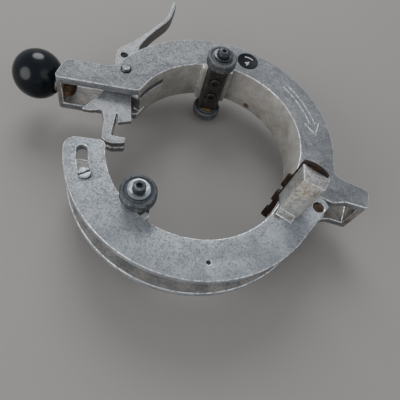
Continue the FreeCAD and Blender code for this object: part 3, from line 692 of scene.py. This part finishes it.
def make_label_bar(centre, top, material):
    """Plain pale arc over the figure, where the plate carries its print: a flat strip along part of an
    ellipse about the plate's centre, 0.72 times as high as it is wide."""
    angle = np.radians(np.linspace(50, 130, 33))[None, :, None]
    radius = np.array([5.4, 6.6])[:, None, None] * MM
    flat = np.concatenate([radius * np.cos(angle), radius * np.sin(angle) * 0.72], axis=2)
    points = np.concatenate([flat + np.array(centre)[:2], np.full(flat.shape[:2] + (1,), top)], axis=2)
    print_on_label(grid_mesh("size_label_bar", points, False, material))


def finish_small_parts():
    """Pins, bolts, blocks and washers: their own shapes with eased edges and a finish for each slot."""
    black = blackened_steel("blackened_steel", (0.028, 0.027, 0.026))
    worn_black = blackened_steel("worn_black_steel", (0.085, 0.080, 0.075))
    collar = worked_metal("collar_metal")
    finish_of_slot = {
        "rusty_steel": rusty_steel("rusty_steel"),
        "dark_steel": black,
        "bright_steel": zinc_steel("zinc_steel", (0.22, 0.235, 0.25), (0.13, 0.14, 0.15)),
        "bronze": bronze("bearing_bronze"),
    }
    own_finish = {
        "blade": rusty_steel("scaled_blade", (0.007, 0.006, 0.005), (0.034, 0.016, 0.009), 0.30),
        "lever_pivot_pin": zinc_steel("dark_pin_steel", (0.10, 0.11, 0.12), (0.035, 0.038, 0.04)),
        "lower_cap_washers": zinc_steel("washer_zinc", (0.30, 0.33, 0.35), (0.22, 0.24, 0.26)),
        "upper_cap_washers": zinc_steel("washer_grey", (0.085, 0.095, 0.105), (0.055, 0.06, 0.065)),
        "upper_roller_bolts": blackened_steel(
            "bolt_blue_black", (0.045, 0.050, 0.058), (0.03, 0.032, 0.035), 0.7),
        "lower_roller_bolts": blackened_steel(
            "bolt_grey", (0.050, 0.056, 0.062), (0.035, 0.036, 0.038), 0.7),
    }
    replaced = {node for piece in bpy.data.objects for node in piece.get("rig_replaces", [])}
    for node, slot in SLOT_OF.items():
        if node in replaced:
            continue
        if node.endswith("axle_block"):
            eased(node, node + "_bar", [black, worn_black], 0.5 * MM)
        elif node == "knob_collar":
            eased(node, node + "_ring", [collar], 0.3 * MM)
        else:
            eased(node, node + "_piece", [own_finish.get(node) or finish_of_slot[slot]], 0.15 * MM)


# ---- camera, floor and light ----
def make_camera():
    """Looks down on the arms from the front, turned about its own axis."""
    slope = Vector((0, 0.8646, 0.5024))
    back = Vector((0, -0.5024, 0.8646))
    roll = math.radians(23.934)
    across = math.cos(roll) * Vector((1, 0, 0)) + math.sin(roll) * slope
    upright = math.cos(roll) * slope - math.sin(roll) * Vector((1, 0, 0))
    target = Vector((10.348, -67.07, 19.0)) * MM
    distance = 301.06 * MM
    optics = bpy.data.cameras.new("camera")
    optics.lens = 36.94
    optics.sensor_width = 36.0
    optics.clip_start = 0.01
    camera = put_in_scene("camera", optics)
    turn = Matrix((across, upright, back)).transposed().to_4x4()
    camera.matrix_world = Matrix.Translation(target + back * distance) @ turn
    bpy.context.scene.camera = camera


def area_light(name, place, size, power, colour):
    """Round light at a place, aimed at the origin."""
    lamp = bpy.data.lights.new(name, "AREA")
    lamp.shape = "DISK"
    lamp.size = size
    lamp.energy = power
    lamp.color = colour
    light = put_in_scene(name, lamp)
    light.location = place
    light.rotation_euler = Vector(place).to_track_quat("Z", "Y").to_euler()


def make_floor():
    """Pale card, 8 m square so that its edge lies far off, just under the lowest piece."""
    card = Finish("floor_card", Roughness=0.9)
    tone = card.noise(0.25, 2, 0.4)
    card.set(Base_Color=card.mix(tone, (0.243, 0.229, 0.215), (0.266, 0.256, 0.243)))
    far = 4.0
    corners = np.array([[[-far, -far, 0], [far, -far, 0]], [[-far, far, 0], [far, far, 0]]], float)
    corners[..., 2] = cad_box[0][2] - 0.2 * MM
    grid_mesh("floor", corners, False, card.material)


def make_light():
    """Cool even sky, soft lights from behind and from the front on the left, a weak one on the right."""
    world = bpy.data.worlds.new("studio")
    world.use_nodes = True
    sky = world.node_tree.nodes["Background"]
    sky.inputs["Color"].default_value = (0.86, 0.90, 0.96, 1)
    sky.inputs["Strength"].default_value = 0.55
    bpy.context.scene.world = world
    area_light("key", (-0.50, 0.80, 0.95), 0.8, 12.5, (0.96, 0.98, 1.0))
    area_light("front", (-0.75, -0.95, 0.55), 1.1, 11.0, (1.0, 0.985, 0.96))
    area_light("side", (0.9, -0.3, 0.8), 1.0, 2.0, (1.0, 0.98, 0.95))


def main():
    make_camera()
    bright = edge_wear_and_highlight("edge_wear_and_highlight")
    make_arms(bright)
    make_latch(bright)
    make_post(bright)
    make_knob()
    make_rollers()
    make_label()
    finish_small_parts()
    make_floor()
    make_light()


main()
